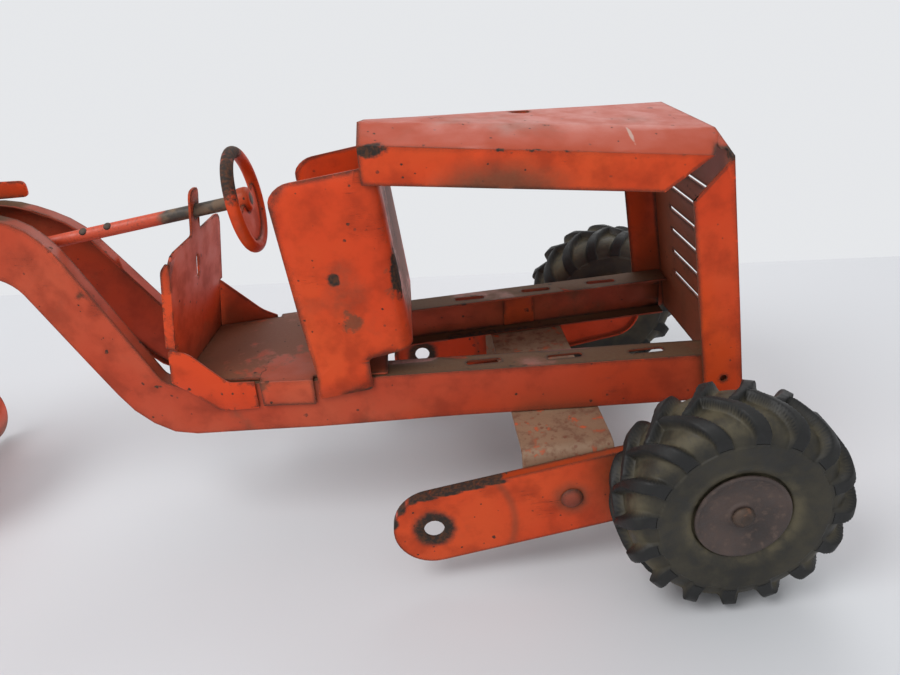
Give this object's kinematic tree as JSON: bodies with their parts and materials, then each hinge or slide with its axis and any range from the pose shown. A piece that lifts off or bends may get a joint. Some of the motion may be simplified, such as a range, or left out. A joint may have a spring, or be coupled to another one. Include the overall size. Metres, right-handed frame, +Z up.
{
  "type": "toy road grader",
  "caption": "Pressed-steel toy road grader: arched twin-beam frame, seat box, louvred hood, tandem rear beams, steered front axle, and a blade that lifts and turns.",
  "frame": {"origin": "on the ground, under the middle of the toy's box", "axes": "+X towards the rear guard, -X towards the front axle, -Y towards the toy's left side, +Z up"},
  "size_m": [0.668, 0.2384, 0.2435],
  "materials": {
    "orange_paint": "worn semi-gloss enamel",
    "worn_primer": "matt primer with orange specks",
    "rusty_steel": "dull, rusted",
    "rusty_hub": "rusted",
    "tyre_rubber": "matt, dusty",
    "black_knob": "satin"
  },
  "bodies": {
    "frame": {"side_rail_left": "orange_paint", "side_rail_right": "orange_paint", "arch_beam_left": "orange_paint", "arch_beam_right": "orange_paint", "cab_floor": "orange_paint", "left_gusset": "orange_paint", "right_gusset": "orange_paint", "dash_panel": "orange_paint", "seat_shell": "orange_paint", "seat_pan": "orange_paint", "hood_and_guard": "orange_paint", "tandem_hanger": "worn_primer", "hanger_tab_left": "orange_paint", "hanger_tab_right": "orange_paint", "tandem_rivet_left": "rusty_steel", "tandem_rivet_right": "rusty_steel", "front_yoke": "orange_paint", "yoke_bolt": "rusty_steel", "axle_pin": "rusty_steel", "drawbar_pin": "rusty_steel", "lift_saddle": "orange_paint"},
    "tandem_left": {"tandem_beam_left": "orange_paint", "rear_axle_left": "rusty_steel"},
    "tandem_right": {"tandem_beam_right": "orange_paint", "rear_axle_right": "rusty_steel"},
    "rear_wheel_left": {"rear_left_tyre": "tyre_rubber", "rear_left_rim": "rusty_hub"},
    "rear_wheel_right": {"rear_right_tyre": "tyre_rubber", "rear_right_rim": "rusty_hub"},
    "steering": {"steering_shaft": "orange_paint", "steering_crank": "rusty_steel", "steering_wheel": "orange_paint"},
    "axle": {"front_axle": "orange_paint", "king_pin_left": "rusty_steel", "king_pin_right": "rusty_steel"},
    "steer_left": {"knuckle_left": "rusty_steel"},
    "steer_right": {"knuckle_right": "rusty_steel"},
    "track_rod": {"tie_rod": "rusty_steel"},
    "front_wheel_left": {"front_left_tyre": "tyre_rubber", "front_left_rim": "rusty_hub"},
    "front_wheel_right": {"front_right_tyre": "tyre_rubber", "front_right_rim": "rusty_hub"},
    "drawbar_frame": {"drawbar": "orange_paint", "circle_pivot": "rusty_steel"},
    "blade": {"circle": "orange_paint", "blade_arm_left": "orange_paint", "blade_arm_right": "orange_paint", "moldboard": "orange_paint"},
    "lift": {"lift_shaft": "rusty_steel", "lift_arm_left": "orange_paint", "lift_arm_right": "orange_paint", "lift_handle": "orange_paint", "lift_knob": "black_knob"},
    "lift_links": {"lift_link_left": "rusty_steel", "lift_link_right": "rusty_steel"}
  },
  "joints": [
    {"name": "tandem_left_rock", "type": "hinge", "parent": "frame", "child": "tandem_left", "pos_m": [0.2207, -0.08, 0.04054], "axis": [0, 1, 0], "range_deg": [-5, 18]},
    {"name": "tandem_right_rock", "type": "hinge", "parent": "frame", "child": "tandem_right", "pos_m": [0.2207, 0.08, 0.04054], "axis": [0, 1, 0], "range_deg": [-5, 18]},
    {"name": "rear_left_spin", "type": "hinge", "parent": "tandem_left", "child": "rear_wheel_left", "pos_m": [0.284, -0.102, 0.05], "axis": [0, 1, 0], "continuous": true},
    {"name": "rear_right_spin", "type": "hinge", "parent": "tandem_right", "child": "rear_wheel_right", "pos_m": [0.284, 0.102, 0.05], "axis": [0, 1, 0], "continuous": true},
    {"name": "steering_turn", "type": "hinge", "parent": "frame", "child": "steering", "pos_m": [0.072, 0, 0.1687], "axis": [0.9917, 0, 0.1288], "range_deg": [-15, 15]},
    {"name": "axle_rock", "type": "hinge", "parent": "frame", "child": "axle", "pos_m": [-0.284, 0, 0.05], "axis": [1, 0, 0], "range_deg": [-6, 6]},
    {"name": "left_steer", "type": "hinge", "parent": "axle", "child": "steer_left", "pos_m": [-0.284, -0.066, 0.05], "axis": [0, 0, 1], "range_deg": [-22.5, 22.5]},
    {"name": "right_steer", "type": "hinge", "parent": "axle", "child": "steer_right", "pos_m": [-0.284, 0.066, 0.05], "axis": [0, 0, 1], "range_deg": [-22.5, 22.5]},
    {"name": "track_slide", "type": "slide", "parent": "axle", "child": "track_rod", "axis": [0, 1, 0], "range_m": [-0.01414, 0.01414]},
    {"name": "front_left_spin", "type": "hinge", "parent": "steer_left", "child": "front_wheel_left", "pos_m": [-0.284, -0.102, 0.05], "axis": [0, 1, 0], "continuous": true},
    {"name": "front_right_spin", "type": "hinge", "parent": "steer_right", "child": "front_wheel_right", "pos_m": [-0.284, 0.102, 0.05], "axis": [0, 1, 0], "continuous": true},
    {"name": "lift_lever", "type": "hinge", "parent": "frame", "child": "lift", "pos_m": [-0.081, 0, 0.188], "axis": [0, 1, 0], "range_deg": [-5, 36]},
    {"name": "lift_link_swing", "type": "hinge", "parent": "lift", "child": "lift_links", "pos_m": [-0.11904, 0, 0.17564], "axis": [0, 1, 0], "range_deg": [-36, 5]},
    {"name": "drawbar_lift", "type": "hinge", "parent": "frame", "child": "drawbar_frame", "pos_m": [-0.256, 0, 0.078], "axis": [0, 1, 0], "range_deg": [-10.4, 1.45]},
    {"name": "circle_turn", "type": "hinge", "parent": "drawbar_frame", "child": "blade", "pos_m": [-0.121, 0, 0.065], "axis": [0, 0, 1], "range_deg": [-35, 35]}
  ],
  "couplings": [
    {"joint": "left_steer", "follows": "steering_turn", "ratio": -1.5},
    {"joint": "right_steer", "follows": "steering_turn", "ratio": -1.5},
    {"joint": "track_slide", "follows": "steering_turn", "m_per_rad": 0.054},
    {"joint": "lift_link_swing", "follows": "lift_lever", "ratio": -1},
    {"joint": "drawbar_lift", "follows": "lift_lever", "ratio": -0.2887}
  ]
}
